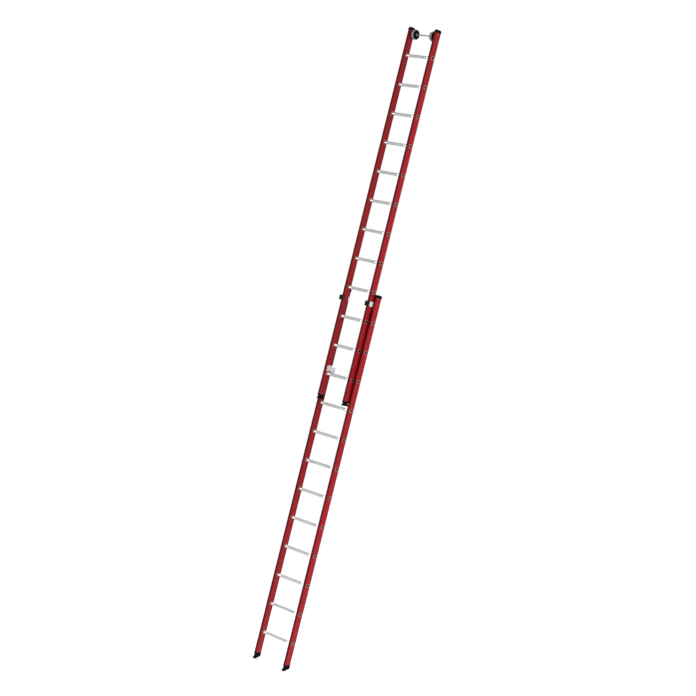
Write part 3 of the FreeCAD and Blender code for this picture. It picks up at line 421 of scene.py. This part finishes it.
def dress_rung(node, materials):
    """Fluted tread between plain ends, a near-black bore of painted shade, and the flared lips outside the
    stiles, tinted with a painted reflection of the red stile and painted shade.
    """
    mesh = node.data
    for name in ("plain", "bore", "lip"):
        mesh.materials.append(materials[name])
    low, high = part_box(node.name)
    middle = (low + high) / 2.0
    bore = RUNG_BORE / 2.0
    tread = high.x - middle.x - PLAIN_END
    for face in mesh.polygons:
        spot = face.center
        reach = math.hypot(spot.y - middle.y, spot.z - middle.z)
        if reach < bore + FACE_SLACK:
            face.material_index = BORE
        elif abs(face.normal.x) > ACROSS and abs(spot.x) > tread:
            face.material_index = LIP
        elif abs(spot.x) > tread:
            face.material_index = PLAIN


def dress_flanges(node, materials):
    """The dish of each flange, between its rim and the rung, is darkened and reddened: painted shade and a
    painted reflection of the red stile.
    """
    mesh = node.data
    mesh.materials.append(materials["flare"])
    inner = min(abs(vertex.co.x) for vertex in mesh.vertices)
    for face in mesh.polygons:
        if abs(face.center.x) > inner + RIM_DEPTH:
            face.material_index = DISH


# --- detail ----------------------------------------------------------------------------

TURNS = 128
BEAD_TURNS = 40
BEAD = 0.0008
BEAD_STEPS = 8
SHOULDER = 0.004
SHOULDER_STEPS = 5
TREAD_GROOVE = 0.002
FINE_GROOVE = 0.0007
FINE_GROOVE_HALF = 0.0006
FINE_GROOVE_PLACES = (0.0045, 0.0070)
WELD = 0.00005
SHARP = math.radians(32.0)
COPLANAR = math.radians(0.6)
SOFT_EDGES = (("foot", 0.0016), ("end_cap", 0.0012), ("guide_shoe", 0.0012), ("stop_blocks", 0.0010),
              ("roller_core", 0.0006))
CAST_EDGE = 0.0012


def spin(profile, centre, turns):
    """Vertices and faces of a closed (along X, radius) profile turned about an axis along X."""
    count = len(profile)
    verts = [(centre.x + along, centre.y + radius * math.cos(turn), centre.z + radius * math.sin(turn))
             for turn in (math.tau * i / turns for i in range(turns)) for along, radius in profile]
    faces = [(i * count + j, i * count + (j + 1) % count,
              (i + 1) % turns * count + (j + 1) % count, (i + 1) % turns * count + j)
             for i in range(turns) for j in range(count)]
    return verts, faces


def add_piece(name, shells, body, material):
    """One piece from several closed shells, smooth except where its edges are sharp."""
    verts, faces = [], []
    for shell_verts, shell_faces in shells:
        start = len(verts)
        verts.extend(shell_verts)
        faces.extend(tuple(start + i for i in face) for face in shell_faces)
    mesh = bpy.data.meshes.new(name)
    mesh.from_pydata(verts, [], faces)
    mesh.validate()
    shaper = bmesh.new()
    shaper.from_mesh(mesh)
    bmesh.ops.recalc_face_normals(shaper, faces=shaper.faces)
    shaper.to_mesh(mesh)
    shaper.free()
    mesh.shade_smooth()
    mesh.set_sharp_from_angle(angle=SHARP)
    piece = bpy.data.objects.new(name, mesh)
    bpy.context.scene.collection.objects.link(piece)
    mesh.materials.append(material)
    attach(piece, body)
    return piece


def groove(along, top, half, depth):
    """Four points of a flat-bottomed groove with slanted walls across a tread."""
    return [(along - half, top), (along - half / 2.0, top - depth), (along + half / 2.0, top - depth),
            (along + half, top)]


def add_tyre(side, materials):
    """A solid tyre: shoulders, a wide groove in the middle and two fine ones on each side of it."""
    node = NODES[f"roller_tyre_{side}"]
    low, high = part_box(node.name)
    centre = (low + high) / 2.0
    half = (high.x - low.x) / 2.0
    tread = (high.z - low.z) / 2.0
    bore = min(math.hypot(v.co.y - centre.y, v.co.z - centre.z) for v in node.data.vertices)
    right = [(half - SHOULDER + SHOULDER * math.cos(turn), tread - SHOULDER + SHOULDER * math.sin(turn))
             for turn in (math.pi / 2.0 * i / SHOULDER_STEPS for i in range(SHOULDER_STEPS + 1))]
    # Known fault: these points run from tread to wall, so the profile crosses itself at the -X
    # shoulder and that shoulder isn't rounded. Without reversed() they run the right way.
    left = [(-along, radius) for along, radius in reversed(right)]
    across = [groove(place, tread, FINE_GROOVE_HALF, FINE_GROOVE) for place in FINE_GROOVE_PLACES]
    plus = [point for piece in across for point in piece]
    minus = [(-along, radius) for along, radius in reversed(plus)]
    top = minus + groove(0.0, tread, TREAD_GROOVE, TREAD_GROOVE) + plus
    profile = [(-half, bore), *left, *top, *reversed(right), (half, bore)]
    shell = spin(profile, centre, TURNS)
    tyre = add_piece(f"ribbed_tyre_{side}", [shell], f"roller_{side}", materials["tyre"])
    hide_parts(node.name)


def add_lip_beads(section, side, materials):
    """The rolled edge of each flared lip, flush with the lip's outer face."""
    shells = []
    for name in NODES:
        if name.startswith(f"{section}_rung_") and "flanges" not in name:
            low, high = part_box(name)
            middle = (low + high) / 2.0
            reach = (high.z - low.z) / 2.0 - BEAD
            along = SIGN[side] * (high.x - middle.x - BEAD)
            ring = [(along + BEAD * math.cos(turn), reach + BEAD * math.sin(turn))
                    for turn in (math.tau * i / BEAD_STEPS for i in range(BEAD_STEPS))]
            shells.append(spin(ring, middle, BEAD_TURNS))
    add_piece(f"{section}_lip_beads_{side}", shells, section, materials["bright"])


def soften(node, width):
    """Rounds the sharp edges of a moulded or cut piece."""
    weld = node.modifiers.new("weld", "WELD")
    weld.merge_threshold = WELD
    flat = node.modifiers.new("flat", "DECIMATE")
    flat.decimate_type = "DISSOLVE"
    flat.angle_limit = COPLANAR
    bevel = node.modifiers.new("soften", "BEVEL")
    bevel.width = width
    bevel.segments = 2
    bevel.limit_method = "ANGLE"
    bevel.angle_limit = SHARP
    bevel.harden_normals = True


def add_detail(materials):
    for side in SIDES:
        add_tyre(side, materials)
        for section in ("base", "fly"):
            add_lip_beads(section, side, materials)
        soften(NODES[f"hook_{side}"], CAST_EDGE)
    for name, node in NODES.items():
        for part, width in SOFT_EDGES:
            if part in name and not name.endswith("rivets"):
                soften(node, width)


# --- build -----------------------------------------------------------------------------

add_camera()
add_studio()
add_floor()
materials = make_materials()
dress_frame(materials)
add_detail(materials)
